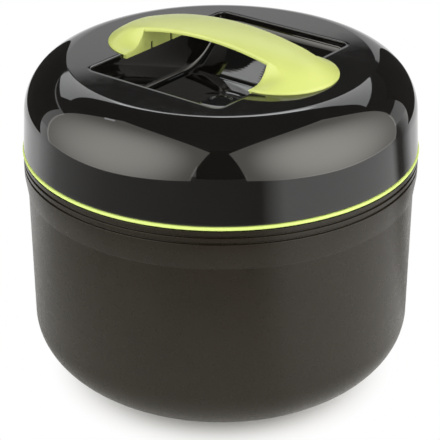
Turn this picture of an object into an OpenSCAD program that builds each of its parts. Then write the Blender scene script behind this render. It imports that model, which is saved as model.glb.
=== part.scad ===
// Round insulated lunch box: a foam-filled tub with a steel pot, closed by a
// twist-lock dome lid that has a hand pocket and an arched carrying handle.
// Millimetres, +Z up, origin at the centre of the foot on the table,
// +X along the handle.

/* [Tub] */
// Outside diameter of the tub wall
tub_d = 206.2; // [190:0.2:230]
// Height of the tub's rim above the table
rim_h = 133.4; // [110:0.2:170]
// Wall of the outer shell
shell_t = 2.5; // [1.6:0.1:3]
// Reach of the rounded bottom corner toward the axis
corner_w = 44; // [34:1:52]
// Height of the rounded bottom corner
corner_h = 33; // [20:1:45]
// Diameter of the foam filling hole in the bottom
fill_hole_d = 44; // [20:1:70]

/* [Foot] */
// Outside diameter of the foot rim
foot_d = 140; // [126:1:150]
// Width of the foot rim
foot_w = 5; // [3:0.5:8]
// Height of the tub's flat underside above the table
foot_h = 4.5; // [3.5:0.1:8]
// Thickness of the plate that closes the bottom
base_t = 2; // [1.2:0.1:2.8]
// Height of the plug above the tub's underside
base_plug_h = 4.5; // [3:0.1:6]

/* [Collar] */
// How far the collar stands out from the tub's wall
collar_step = 1.6; // [1:0.1:3]
// How far the collar's lower edge stands out from the tub's wall
collar_edge_step = 0.3; // [0:0.1:1]
// Height of the collar
collar_h = 22; // [19:0.5:30]
// Height of the collar's straight upper part
collar_straight_h = 12.6; // [11.5:0.1:16]
// Wall of the collar round the channel in which the lugs turn
collar_t = 7.4; // [6.5:0.1:8]
// Width of the shelf that carries the pot
shelf_w = 5.3; // [3:0.1:6]
// Thickness of the shelf
shelf_t = 3; // [2:0.1:4]
// Number of fine grooves round the collar
groove_count = 2; // [1:1:3]
// Depth of the first groove below the rim
groove_drop = 3.3; // [2.5:0.1:4]
// Distance between grooves
groove_pitch = 3.5; // [2.5:0.1:3.8]
// Width of a groove
groove_w = 1.5; // [0.6:0.1:2]
// Depth of a groove
groove_depth = 1.2; // [0.2:0.1:1.5]

/* [Inner pot] */
// Foam between the shell and the pot's side
foam_t = 11.8; // [10.5:0.1:20]
// Foam between the shell and the pot's floor
base_foam_t = 13; // [8:0.5:24]
// Sheet thickness of the pot
pot_t = 0.8; // [0.5:0.1:1.2]
// Inside radius of the pot's bottom corner
pot_corner_r = 20; // [10:1:30]

/* [Seal] */
// How far the seal ring stands out from the collar
seal_step = 0.3; // [0:0.1:1]
// Height of the seal ring
seal_h = 2.2; // [1.6:0.1:3]
// Width of the seal ring
seal_w = 7; // [5:0.1:7.4]

/* [Lid] */
// How far the lid's lower edge stays inside the collar's outside
lid_step = 0.3; // [0:0.1:1]
// Height of the shoulder's top above the lid's lower edge
lid_h = 45.4; // [42:0.2:60]
// Lean of the lid's side wall
lid_draft = 3.7; // [1:0.1:5]
// Radius of the rounded shoulder
shoulder_r = 27; // [20:0.5:32]
// Angle up the shoulder at which the crease round the flat top lies
crease_angle = 82.5; // [78:0.5:86]
// Wall of the lid's cover
lid_t = 2.6; // [2:0.1:3]

/* [Hand pocket] */
// Length of the pocket along the handle
pocket_l = 84.5; // [78:0.5:88]
// Width of the pocket across the handle
pocket_w = 112; // [100:0.2:114]
// Depth of the pocket
pocket_depth = 25.5; // [24:0.5:30]
// Radius of the pocket's corners
pocket_corner_r = 4; // [2:0.5:8]
// Wall of the pocket
pocket_t = 2.4; // [2:0.1:3]
// Width of the pocket's flat floor
floor_w = 36; // [36:1:44]
// Radius where the floor turns up into the ramps
ramp_r = 40; // [34:1:42]
// Slope of the ramps at the pocket's ends
ramp_angle = 40; // [34:1:40]
// Diameter of the round boss on the floor
boss_d = 24; // [16:1:30]
// Height of the boss
boss_h = 1; // [0.5:0.1:2]
// Diameter of the dimple in the boss
dimple_d = 12; // [6:1:14]
// Depth of the dimple
dimple_depth = 0.6; // [0.3:0.1:0.9]

/* [Handle] */
// Height of the handle's top above the lid's flat top
handle_rise = 16.7; // [15:0.1:24]
// Radius of the arch along the handle
arch_r = 188; // [170:1:220]
// Radius of the crown across the handle
crown_r = 57; // [52:1:70]
// Width of the grip bar
bar_w = 28; // [26:0.5:32]
// Thickness of the grip bar at its crown
bar_t = 4; // [3:0.1:5]
// Radius of the round feet
pad_r = 29.6; // [29:0.1:33]
// Distance of the feet's centres inside the pocket's sides
pad_inset = 3.7; // [1:0.1:5]
// Thickness of the feet at their rims
pad_edge_t = 0.9; // [0.8:0.1:1.4]
// Radius of the hollows beside the grip, where it widens into the feet
hollow_r = 11.5; // [10:0.5:13]
// Turn of the hollows toward the feet's outer ends
hollow_turn = 22; // [16:1:24]
// Radius over which the feet's outer ends come down to their rims
nose_r = 81; // [72:1:90]
// Thickness of the walls that dip into the pocket
tab_t = 2.2; // [1.6:0.1:3]
// Depth of those walls below the lid's top
tab_dip = 2.3; // [2.1:0.1:4]
// Length of those walls
tab_l = 57; // [40:1:58]
// Width of the snap tab between the slits
snap_w = 16; // [10:0.5:24]
// Width of a slit
slit_w = 1.2; // [0.5:0.1:1.5]
// Height of a slit
slit_h = 3.8; // [3:0.1:5]
// Reach of the snap tab's hook
hook_reach = 1; // [0.6:0.1:1.4]
// Height of the hook
hook_h = 1.2; // [0.8:0.1:1.2]

/* [Handle screws] */
// Distance of the screws outside the pocket's sides
screw_out = 10.5; // [8:0.5:13]
// Distance of the screws from the axis across the handle
screw_y = 7; // [5:0.5:8]
// Shank diameter of a screw
screw_d = 3.5; // [3:0.1:4]
// Head diameter of a screw
screw_head_d = 7; // [5.6:0.1:8]
// Head height of a screw
screw_head_h = 2.2; // [1.5:0.1:3]
// Length of thread in the handle
screw_bite = 5; // [4:0.1:5.6]

/* [Twist lock] */
// Number of lugs
lug_count = 4; // [3:1:4]
// Angle that a lug spans
lug_angle = 28; // [20:1:30]
// Turn from open to locked, clockwise seen from above
lock_turn = 40; // [36:1:42]
// Height of a ledge
ledge_h = 3.5; // [2.5:0.1:4]
// Depth of a ledge's top below the rim
ledge_drop = 2.5; // [1.5:0.1:3]
// Height of a lug
lug_h = 3.6; // [2.4:0.1:3.8]
// Reach of a lug beyond the lid's plug
lug_reach = 3.4; // [2.4:0.1:4]

/* [Lid liner] */
// Wall of the liner
liner_t = 2.2; // [1.6:0.1:3]
// Height of the lugs above the liner's underside
lug_foot = 0.8; // [0.5:0.1:2]
// Distance of the gasket from the plug's outside
gasket_inset = 1.4; // [0.8:0.1:2]
// Width of the gasket
gasket_w = 2.6; // [2:0.1:3]
// Height of the gasket's groove in the liner
gasket_groove_h = 1.2; // [0.8:0.1:1.4]

/* [Clearances] */
// Play between pieces that are pushed together
fit_gap = 0.05; // [0.02:0.01:0.1]
// Play between pieces that turn or lift past each other
run_gap = 0.4; // [0.3:0.05:0.5]
// Room under a ledge for a turning lug
lock_gap = 0.3; // [0.2:0.05:0.5]
// Room between the liner and the pot's flange, bridged by the gasket
gasket_stand = 0.5; // [0.3:0.05:1]
// Room between the gasket and the pot's flange
gasket_gap = 0.05; // [0.02:0.01:0.2]
// Room round the foam
foam_gap = 0.3; // [0.1:0.05:0.5]
// Angle between a lug and its stops
stop_gap = 2; // [1:0.5:4]

/* [Hidden] */
$fn = 96;

dark = [0.16, 0.15, 0.14];
black = [0.06, 0.06, 0.06];
lime = [0.80, 0.87, 0.25];
steel = [0.75, 0.76, 0.77];
foam = [0.93, 0.90, 0.80];
grey = [0.55, 0.56, 0.56];

// Steps of a drawn arc
arc_steps = 20;
// Overlap that makes joined or cut shapes run through
eps = 1;

// Radii from the tub's wall inward
tub_r = tub_d / 2;
shell_in_r = tub_r - shell_t;
spigot_in_r = shell_in_r - shell_t;
collar_r = tub_r + collar_step;
collar_edge_r = tub_r + collar_edge_step;
channel_r = collar_r - collar_t;
shelf_r = channel_r - shelf_w;
flange_r = channel_r - run_gap;
pot_r = shell_in_r - foam_t - pot_t;
corner_r0 = tub_r - corner_w;
foot_r = foot_d / 2;
seal_r = collar_r + seal_step;
lid_r = collar_r - lid_step;
lug_r = channel_r - run_gap;
plug_r = lug_r - lug_reach;
ledge_r = plug_r + run_gap;
gasket_r = plug_r - gasket_inset - gasket_w;

// Heights from the rim downward
ledge_top_z = rim_h - ledge_drop;
ledge_z = ledge_top_z - ledge_h;
lug_z = ledge_z - lock_gap - lug_h;
plug_z = lug_z - lug_foot;
flange_z = plug_z - gasket_stand;
gasket_z = flange_z + gasket_gap;
shelf_z = flange_z - pot_t;
spigot_z = shelf_z - shelf_t;
collar_z = rim_h - collar_h;

// Heights from the table upward
corner_z = foot_h + corner_h;
pot_floor_h = foot_h + shell_t + base_foam_t;
pot_corner_z = pot_floor_h + pot_t + pot_corner_r;

// Lid
lid_z = rim_h + seal_h;
shoulder_z = lid_z + lid_h - shoulder_r;
wall_top_z = shoulder_z + shoulder_r * sin(lid_draft);
wall_top_r = lid_r - (wall_top_z - lid_z) * tan(lid_draft);
shoulder_x = wall_top_r - shoulder_r * cos(lid_draft);
top_z = shoulder_z + shoulder_r * sin(crease_angle);
ceiling_z = top_z - lid_t;
pocket_z = top_z - pocket_depth;
pocket_x = pocket_l / 2;
pocket_y = pocket_w / 2;

// Handle
handle_z = top_z + handle_rise;
arch_z = handle_z - arch_r;
pad_x = pocket_x - pad_inset;
tab_out_x = pocket_x - fit_gap;
tab_in_x = tab_out_x - tab_t;
hook_z = top_z - tab_dip;
pad_end_x = pad_x + pad_r;
hollow_z = top_z + pad_edge_t + hollow_r;
// Ends of the nose's arc, and its centre
nose_a = [tab_out_x, arch_z + sqrt(arch_r * arch_r - tab_out_x * tab_out_x)];
nose_b = [pad_end_x, top_z + pad_edge_t];
nose_run = nose_b - nose_a;
nose_depth = sqrt(nose_r * nose_r - nose_run * nose_run / 4) / norm(nose_run);
nose_c = (nose_a + nose_b) / 2 + [nose_run[1], -nose_run[0]] * nose_depth;
screw_x = pocket_x + screw_out;
window_gap = 0.2;
crown_sweep = 60;
crown_fn = 720;

// Twist lock
lug_pitch = 360 / lug_count;
entry_angle = lug_angle / 2 + stop_gap;
stop_start = lock_turn + entry_angle;

// Points of an arc from angle a to angle b
function arc(x, z, rx, rz, a, b) =
    [for (i = [0:arc_steps]) let (t = a + (b - a) * i / arc_steps) [x + rx * cos(t), z + rz * sin(t)]];

// Height of the tub's outside at radius r in the rounded corner
function corner_height(r) =
    r <= corner_r0 ? foot_h : corner_z - corner_h * sqrt(1 - pow((r - corner_r0) / corner_w, 2));

// Outline from the axis up the outside of the tub, moved in by t
function tub_outline(t) = concat([[0, foot_h + t]],
    arc(corner_r0, corner_z, corner_w - t, corner_h - t, -90, 0));

// Outline of the lid from its lower edge to the axis, moved in by t
function lid_outline(t) = concat([[lid_r - t / cos(lid_draft), lid_z]],
    arc(shoulder_x, shoulder_z, shoulder_r - t, shoulder_r - t, lid_draft,
        asin((shoulder_r * sin(crease_angle) - t) / (shoulder_r - t))),
    [[0, top_z - t]]);

// Outline up the outside of the pot, moved out by t
function pot_outline(t) = concat([[0, pot_floor_h - t]],
    arc(pot_r - pot_corner_r, pot_corner_z, pot_corner_r + pot_t + t, pot_corner_r + pot_t + t, -90, 0));

module revolve(points) {
    rotate_extrude() polygon(points);
}

// Ring between two radii and two heights
module ring(r0, r1, z0, z1) {
    rotate_extrude() translate([r0, z0]) square([r1 - r0, z1 - z0]);
}

// Part of a ring that starts at angle a
module sector(r0, r1, z0, z1, a, angle) {
    rotate([0, 0, a]) rotate_extrude(angle = angle) translate([r0, z0]) square([r1 - r0, z1 - z0]);
}

// Tub's outer wall with its spigot for the collar
module outer_shell() {
    color(dark) difference() {
        revolve(concat(tub_outline(0), [[tub_r, collar_z], [shell_in_r, collar_z], [shell_in_r, spigot_z],
            [0, spigot_z]]));
        revolve(concat(tub_outline(shell_t), [[shell_in_r, collar_z - shell_t],
            [spigot_in_r, collar_z - shell_t], [spigot_in_r, spigot_z + eps], [0, spigot_z + eps]]));
        translate([0, 0, foot_h - eps]) cylinder(d = fill_hole_d, h = shell_t + 2 * eps);
    }
}

// Collar with its grooves, the pot's shelf and the ledges of the twist lock
module rim_collar() {
    color(dark) {
        difference() {
            revolve([[collar_edge_r, collar_z], [collar_r, rim_h - collar_straight_h],
                [collar_r, rim_h], [channel_r, rim_h], [channel_r, shelf_z], [shelf_r, shelf_z],
                [shelf_r, spigot_z], [shell_in_r + fit_gap, spigot_z], [shell_in_r + fit_gap, collar_z]]);
            for (i = [0:groove_count - 1])
                let (z = rim_h - groove_drop - i * groove_pitch)
                    ring(collar_r - groove_depth, collar_r + eps, z - groove_w, z);
        }
        // Ledges with their stops: a ring cut by the lugs' ways in and their turning room
        difference() {
            ring(ledge_r, channel_r + eps, lug_z, ledge_top_z);
            for (i = [0:lug_count - 1]) rotate([0, 0, i * lug_pitch]) {
                sector(ledge_r - eps, channel_r + 2 * eps, lug_z - eps, ledge_top_z + eps,
                    -entry_angle, 2 * entry_angle);
                sector(ledge_r - eps, channel_r + 2 * eps, lug_z - eps, ledge_z, -stop_start, stop_start);
            }
        }
    }
}

// Plate with the foot rim and a plug for the filling hole
module base_cap() {
    plate_r = min(corner_r0, foot_r);
    color(dark) {
        revolve(concat([[0, foot_h - base_t], [foot_r - foot_w, foot_h - base_t], [foot_r - foot_w, 0],
            [foot_r, 0]],
            [for (i = [0:arc_steps]) let (r = foot_r + (plate_r - foot_r) * i / arc_steps)
                [r, corner_height(r) - fit_gap]],
            [[0, foot_h - fit_gap]]));
        translate([0, 0, foot_h - base_t]) cylinder(r = fill_hole_d / 2 - fit_gap, h = base_t + base_plug_h);
    }
}

// Drawn steel pot with a flat flange
module inner_pot() {
    color(steel) difference() {
        revolve(concat(pot_outline(0), [[pot_r + pot_t, shelf_z], [flange_r, shelf_z],
            [flange_r, flange_z], [0, flange_z]]));
        revolve(concat(pot_outline(-pot_t), [[pot_r, flange_z + eps], [0, flange_z + eps]]));
    }
}

// Foam between shell, pot and collar
module body_insulation() {
    foam_top_z = spigot_z - foam_gap;
    color(foam) difference() {
        revolve(concat(tub_outline(shell_t + foam_gap),
            [[shell_in_r - foam_gap, collar_z - shell_t - foam_gap],
            [spigot_in_r - foam_gap, collar_z - shell_t - foam_gap],
            [spigot_in_r - foam_gap, foam_top_z], [0, foam_top_z]]));
        revolve(concat(pot_outline(foam_gap), [[pot_r + pot_t + foam_gap, foam_top_z + eps],
            [0, foam_top_z + eps]]));
        cylinder(r = fill_hole_d / 2 + foam_gap, h = foot_h + base_plug_h + foam_gap);
    }
}

// Soft ring with a rounded outer edge
module seal_ring() {
    color(lime) rotate_extrude() {
        translate([seal_r - seal_w, rim_h]) square([seal_w - seal_h / 2, seal_h]);
        translate([seal_r - seal_h / 2, rim_h + seal_h / 2]) circle(d = seal_h);
    }
}

// Rounded rectangle of the pocket, grown by g
module pocket_plan(g) {
    r = pocket_corner_r + g;
    x = pocket_x - pocket_corner_r;
    y = pocket_y - pocket_corner_r;
    square([2 * (x + r), 2 * y], center = true);
    square([2 * x, 2 * (y + r)], center = true);
    for (sx = [-1, 1]) for (sy = [-1, 1]) translate([sx * x, sy * y]) circle(r = r);
}

// Half of the scooped floor line, from the middle to one end
function scoop(end) =
    let (
        y0 = floor_w / 2,
        bend = [for (i = [0:arc_steps]) let (t = ramp_angle * i / arc_steps)
            [y0 + ramp_r * sin(t), pocket_z + ramp_r * (1 - cos(t))]],
        last = bend[arc_steps]
    )
    concat(bend, [[end, last[1] + (end - last[0]) * tan(ramp_angle)]]);

function reversed(list) = [for (i = [len(list) - 1:-1:0]) list[i]];

// Space of the pocket up to height z, grown by g
module pocket_space(g, z) {
    side = scoop(pocket_y + g + eps);
    line = concat([for (p = reversed(side)) [-p[0], p[1] - g]], [for (p = side) [p[0], p[1] - g]]);
    end = pocket_y + g + eps;
    intersection() {
        translate([0, 0, pocket_z - g - eps]) linear_extrude(z - pocket_z + g + eps) pocket_plan(g);
        rotate([90, 0, 90]) translate([0, 0, -pocket_l]) linear_extrude(2 * pocket_l)
            polygon(concat(line, [[end, z + eps], [-end, z + eps]]));
    }
}

module at_screws() {
    for (sx = [-1, 1]) for (sy = [-1, 1]) translate([sx * screw_x, sy * screw_y, 0]) children();
}

// Dome with the hand pocket sunk in its flat top
module lid_cover() {
    color(black) difference() {
        union() {
            difference() {
                revolve(concat(lid_outline(0), [[0, lid_z]]));
                revolve(concat([[0, lid_z - eps], [lid_r - lid_t / cos(lid_draft), lid_z - eps]],
                    lid_outline(lid_t)));
            }
            pocket_space(pocket_t, top_z);
        }
        difference() {
            pocket_space(0, top_z + eps);
            translate([0, 0, pocket_z - eps]) difference() {
                cylinder(d = boss_d, h = boss_h + eps);
                translate([0, 0, boss_h + eps - dimple_depth]) cylinder(d = dimple_d, h = dimple_depth + eps);
            }
        }
        at_screws() translate([0, 0, ceiling_z - eps]) cylinder(d = screw_d + 2 * run_gap, h = lid_t + 2 * eps);
        for (s = [-1, 1]) translate([s * pocket_x, 0, hook_z + hook_h / 2])
            cube([2 * (hook_reach + window_gap), snap_w - 2 * slit_w, hook_h + 2 * window_gap], center = true);
    }
}

// Plug under the lid, with its flange on the seal and the lugs of the twist lock
module lid_liner() {
    rim_r = lid_r - lid_t / cos(lid_draft) - liner_t * tan(lid_draft) - fit_gap;
    color(grey) difference() {
        union() {
            revolve([[0, plug_z], [plug_r, plug_z], [plug_r, lid_z], [rim_r, lid_z],
                [rim_r, lid_z + liner_t], [plug_r - liner_t, lid_z + liner_t],
                [plug_r - liner_t, plug_z + liner_t], [0, plug_z + liner_t]]);
            for (i = [0:lug_count - 1])
                sector(plug_r - liner_t / 2, lug_r, lug_z, lug_z + lug_h, i * lug_pitch - lug_angle / 2, lug_angle);
        }
        ring(gasket_r - fit_gap, gasket_r + gasket_w + fit_gap, plug_z - eps, plug_z + gasket_groove_h + fit_gap);
    }
}

// Soft ring in the liner's groove, just clear of the pot's flange
module pot_gasket() {
    color(lime) ring(gasket_r, gasket_r + gasket_w, gasket_z, plug_z + gasket_groove_h);
}

// Foam between the lid's cover and its liner
module lid_insulation() {
    flange_top_z = lid_z + liner_t + foam_gap;
    core_r = plug_r - liner_t - foam_gap;
    head_z = ceiling_z - screw_head_h;
    color(foam) difference() {
        revolve(concat([[0, plug_z + liner_t + foam_gap], [core_r, plug_z + liner_t + foam_gap],
            [core_r, flange_top_z]],
            [[lid_r - (lid_t + foam_gap) / cos(lid_draft) - (flange_top_z - lid_z) * tan(lid_draft),
                flange_top_z]],
            [for (i = [1:arc_steps + 2]) lid_outline(lid_t + foam_gap)[i]]));
        pocket_space(pocket_t + foam_gap, top_z + eps);
        at_screws() translate([0, 0, head_z - foam_gap])
            cylinder(d = screw_head_d + 2 * foam_gap, h = screw_head_h + foam_gap + eps);
    }
}

// Barrel-shaped solid whose top is the handle's top
module crown() {
    translate([0, 0, arch_z]) rotate([90, crown_sweep / 2 - 90, 0])
        rotate_extrude(angle = crown_sweep, $fn = crown_fn)
            translate([arch_r - crown_r, 0]) circle(r = crown_r, $fn = crown_fn / 4);
}

// Plan of the handle: the grip bar and a round foot at each end
module handle_plan() {
    square([2 * tab_out_x, bar_w], center = true);
    for (s = [0, 180]) rotate(s) intersection() {
        translate([pad_x, 0]) circle(r = pad_r);
        translate([tab_in_x, -pad_r]) square([2 * pad_r, 2 * pad_r]);
    }
}

// Section of a hollow beside the grip: a round corner with room above and outside it
module hollow_section(tall) {
    translate([hollow_r, hollow_z]) circle(r = hollow_r);
    translate([hollow_r, hollow_z - hollow_r]) square([2 * pad_r, hollow_r + tall]);
    translate([0, hollow_z]) square([2 * pad_r, tall]);
}

// Room above one foot: its outer end comes down, and the grip's sides run out into the rim
module foot_room(tall) {
    difference() {
        translate([tab_out_x, -2 * pad_r, top_z]) cube([2 * pad_r, 4 * pad_r, tall]);
        translate([nose_c[0], 0, nose_c[1]]) rotate([90, 0, 0])
            cylinder(r = nose_r, h = 5 * pad_r, center = true, $fn = crown_fn);
    }
    for (side = [0, 1]) mirror([0, side, 0]) translate([tab_in_x, bar_w / 2, 0]) rotate([0, 0, -hollow_turn])
        translate([-pad_r, 0, 0]) rotate([90, 0, 90]) linear_extrude(3 * pad_r) hollow_section(tall);
}

// Arched grip on two feet, with snap tabs at the pocket's sides
module handle() {
    tall = handle_rise + eps;
    color(lime) difference() {
        union() {
            intersection() {
                translate([0, 0, top_z]) linear_extrude(tall) handle_plan();
                crown();
            }
            // Walls that dip into the pocket, with their hooks
            for (s = [0, 180]) rotate([0, 0, s]) {
                translate([tab_in_x, -tab_l / 2, hook_z]) cube([tab_t, tab_l, tab_dip + eps]);
                translate([tab_in_x, -snap_w / 2 + 2 * slit_w, hook_z])
                    cube([tab_t + hook_reach, snap_w - 4 * slit_w, hook_h]);
            }
        }
        // Room for the fingers under the bar
        intersection() {
            translate([0, 0, arch_z]) rotate([90, 0, 0])
                cylinder(r = arch_r - bar_t, h = 2 * bar_w, center = true, $fn = crown_fn);
            translate([0, 0, top_z]) cube([2 * tab_in_x, 2 * bar_w, 2 * tall], center = true);
        }
        for (s = [0, 180]) rotate([0, 0, s]) foot_room(tall);
        at_screws() translate([0, 0, top_z - eps])
            cylinder(d = screw_d + 2 * fit_gap, h = screw_bite + fit_gap + eps);
        for (s = [0, 180]) rotate([0, 0, s]) for (sy = [-1, 1])
            translate([tab_in_x - eps, sy * snap_w / 2 - slit_w / 2, hook_z - eps])
                cube([tab_t + eps, slit_w, slit_h + eps]);
    }
}

// Four screws from inside the lid into the feet
module handle_screws() {
    color(steel) at_screws() {
        translate([0, 0, ceiling_z - screw_head_h]) cylinder(d = screw_head_d, h = screw_head_h);
        translate([0, 0, ceiling_z - eps]) cylinder(d = screw_d, h = lid_t + screw_bite + eps);
    }
}

outer_shell();
rim_collar();
base_cap();
inner_pot();
body_insulation();
seal_ring();
lid_cover();
lid_liner();
pot_gasket();
lid_insulation();
handle();
handle_screws();
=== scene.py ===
# %% [markdown]
# # Dressing a round insulated lunch box
#
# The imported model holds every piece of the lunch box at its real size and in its
# real place. In this lesson the pieces that show get finer meshes with rounded
# edges, every piece gets a finish made of nodes, and a small studio is lit round it.
# All lengths are metres in the model's own frame: +Z is up, the foot stands on
# z = 0 and the handle runs along X.

import math

import bmesh
import bpy
from mathutils import Matrix, Vector


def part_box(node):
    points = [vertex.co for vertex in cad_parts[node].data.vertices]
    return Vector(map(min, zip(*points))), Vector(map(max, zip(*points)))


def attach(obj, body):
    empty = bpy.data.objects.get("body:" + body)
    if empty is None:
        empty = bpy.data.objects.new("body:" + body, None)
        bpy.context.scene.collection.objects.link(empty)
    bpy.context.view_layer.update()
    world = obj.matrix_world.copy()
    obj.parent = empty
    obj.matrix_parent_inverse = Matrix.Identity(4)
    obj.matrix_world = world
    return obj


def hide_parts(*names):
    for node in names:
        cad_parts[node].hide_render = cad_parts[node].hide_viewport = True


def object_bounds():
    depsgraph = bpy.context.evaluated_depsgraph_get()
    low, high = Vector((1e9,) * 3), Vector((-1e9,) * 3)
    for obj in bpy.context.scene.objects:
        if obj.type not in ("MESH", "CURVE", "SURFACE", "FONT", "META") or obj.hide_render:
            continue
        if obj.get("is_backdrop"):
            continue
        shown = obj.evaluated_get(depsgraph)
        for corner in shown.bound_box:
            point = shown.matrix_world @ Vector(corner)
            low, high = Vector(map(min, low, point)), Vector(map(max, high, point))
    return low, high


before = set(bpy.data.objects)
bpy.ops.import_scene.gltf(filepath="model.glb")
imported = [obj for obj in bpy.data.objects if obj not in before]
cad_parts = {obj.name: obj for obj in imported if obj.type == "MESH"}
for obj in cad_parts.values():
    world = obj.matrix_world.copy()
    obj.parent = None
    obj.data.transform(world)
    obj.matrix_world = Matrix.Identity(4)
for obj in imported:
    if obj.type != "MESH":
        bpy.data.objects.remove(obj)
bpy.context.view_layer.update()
scene = bpy.context.scene
mm = 0.001
print("pieces in the packed model:", ", ".join(sorted(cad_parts)))

# %% [markdown]
# ## Camera
#
# The box was seen from about 24 degrees above, with the handle turned 38 degrees
# away from the picture plane. A long lens a short metre away could also be found by
# trial, but here the angles come from the seal ring: the ratio of its ellipse's axes
# gives the height of the camera, and the handle's direction gives the turn.

# %% Camera
picture_px = 440
focal_px = 1500
axis_px = 220.89
camera_turn = math.radians(37.97)
camera_rise = math.radians(23.97)
camera_tilt = math.radians(27.11)
camera_distance = 0.8006
seal_low, seal_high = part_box("seal_ring")
ring_height = (seal_low.z + seal_high.z) / 2

lens = bpy.data.cameras.new("camera")
lens.sensor_width = 36
lens.lens = focal_px / picture_px * lens.sensor_width
lens.shift_x = (picture_px / 2 - axis_px) / picture_px
camera = bpy.data.objects.new("camera", lens)
reach = camera_distance * math.cos(camera_rise)
camera.location = (reach * math.sin(camera_turn), -reach * math.cos(camera_turn),
                   ring_height + camera_distance * math.sin(camera_rise))
camera.rotation_euler = (math.pi / 2 - camera_tilt, 0, camera_turn)
scene.collection.objects.link(camera)
scene.camera = camera
print("camera at", [round(c, 3) for c in camera.location], "lens", round(lens.lens, 1), "mm")

# %% [markdown]
# ## Drawing a section
#
# Most pieces of the box are round, and come out of moulds that were turned on a
# lathe. So each one is drawn as a section, half of the piece cut through, and then
# spun about the axis. A list of points would do, but a pen made of two bmesh
# operators reads more like a drawing: an extruded vertex is a straight stroke, and a
# spun vertex is an arc.

# %% Pen and lathe
def stroke(bm, tip, radius, height):
    """Draw a straight line from the pen's tip to a radius and a height."""
    new = bmesh.ops.extrude_vert_indiv(bm, verts=[tip])["verts"][0]
    new.co = (radius, 0, height)
    return new


def sweep(bm, tip, radius, height, angle, steps, stretch=(1, 1)):
    """Draw an arc round a centre, upward from the outside, and stretch it into part of an ellipse."""
    before = set(bm.verts)
    bend = bmesh.ops.spin(bm, geom=[tip], cent=(radius, 0, height), axis=(0, -1, 0),
                          angle=math.radians(angle), steps=steps)
    new = [v for v in bm.verts if v not in before]
    bmesh.ops.scale(bm, verts=new, vec=(stretch[0], 1, stretch[1]),
                    space=Matrix.Translation((-radius, 0, -height)))
    return bend["geom_last"][0]


def lathe(bm, steps=192):
    """Spin everything that is drawn once round the axis, and turn its faces outward."""
    bmesh.ops.spin(bm, geom=bm.verts[:] + bm.edges[:], cent=(0, 0, 0), axis=(0, 0, 1),
                   angle=math.tau, steps=steps, use_merge=True)
    bmesh.ops.remove_doubles(bm, verts=bm.verts, dist=0.002 * mm)
    bmesh.ops.recalc_face_normals(bm, faces=bm.faces)


# %% [markdown]
# A finished bmesh becomes an object at the origin. Faces shade smoothly, apart from
# the edges that turn sharper than a set angle, and a narrow Bevel takes the razor
# edge off those, as the radius of a real mould does.

# %% From bmesh to piece
def make_piece(bm, name, body, nodes, sharp=32, soften=0.0):
    """Turn a bmesh into a piece that rides on a body and stands for some CAD nodes."""
    mesh = bpy.data.meshes.new(name)
    bm.to_mesh(mesh)
    bm.free()
    mesh.shade_smooth()
    mesh.set_sharp_from_angle(angle=math.radians(sharp))
    piece = bpy.data.objects.new(name, mesh)
    scene.collection.objects.link(piece)
    if soften:
        bevel = piece.modifiers.new("soft edges", "BEVEL")
        bevel.width = soften
        bevel.segments = 3
        bevel.limit_method = "ANGLE"
        bevel.angle_limit = math.radians(sharp)
        bevel.harden_normals = True
    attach(piece, body)
    if nodes:
        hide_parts(*nodes)
    print(name, "has", len(mesh.polygons), "faces")
    return piece


# %% [markdown]
# ## Tub wall
#
# The tub is one moulded plastic shell with a straight wall and a wide rounded bottom
# corner, flatter than a quarter circle. The corner is an arc that is squeezed into a
# quarter of an ellipse. The wall steps in at its top, where the collar is pushed over it.

# %% Tub wall
shell_low, shell_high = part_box("outer_shell")
tub_r = shell_high.x
tub_z = shell_low.z
wall_t = 2.5 * mm
corner_w, corner_h = 44 * mm, 33 * mm
corner_r, corner_z = tub_r - corner_w, tub_z + corner_h
corner_steps = 28
inner_stretch = (corner_w - wall_t) / (corner_h - wall_t)
collar_low, collar_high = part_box("rim_collar")
fill_hole_r = 22 * mm

bm = bmesh.new()
start = bm.verts.new((tub_r, 0, collar_low.z))
tip = stroke(bm, start, tub_r, corner_z)
tip = sweep(bm, tip, corner_r, corner_z, -90, corner_steps, stretch=(1, corner_h / corner_w))
tip = stroke(bm, tip, fill_hole_r, tub_z)
tip = stroke(bm, tip, fill_hole_r, tub_z + wall_t)
tip = stroke(bm, tip, corner_r, tub_z + wall_t)
tip = sweep(bm, tip, corner_r, corner_z, 90, corner_steps, stretch=(inner_stretch, 1))
tip = stroke(bm, tip, tub_r - wall_t, collar_low.z - wall_t)
tip = stroke(bm, tip, tub_r - 2 * wall_t, collar_low.z - wall_t)
tip = stroke(bm, tip, tub_r - 2 * wall_t, shell_high.z)
tip = stroke(bm, tip, tub_r - wall_t, shell_high.z)
tip = stroke(bm, tip, tub_r - wall_t, collar_low.z)
bm.edges.new((tip, start))
lathe(bm)
tub_wall = make_piece(bm, "tub_wall", "tub", ["outer_shell"], soften=0.25 * mm)

# %% [markdown]
# ## Foot
#
# A separate cap closes the bottom of the tub after it is filled with foam. Its rim is
# the foot that the box stands on. Seen from above only the outside of the rim shows,
# so it gets a round edge where it meets the table.

# %% Foot
base_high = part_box("base_cap")[1]
foot_r = base_high.x
foot_w = 5 * mm
plate_z = 2.5 * mm
fit = 0.05 * mm
foot_edge = 0.8 * mm
foot_rows = 6


def tub_height(radius):
    """Height of the tub's outside at a radius in its rounded corner."""
    share = (radius - corner_r) / corner_w
    return corner_z - corner_h * math.sqrt(1 - share * share)


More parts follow.
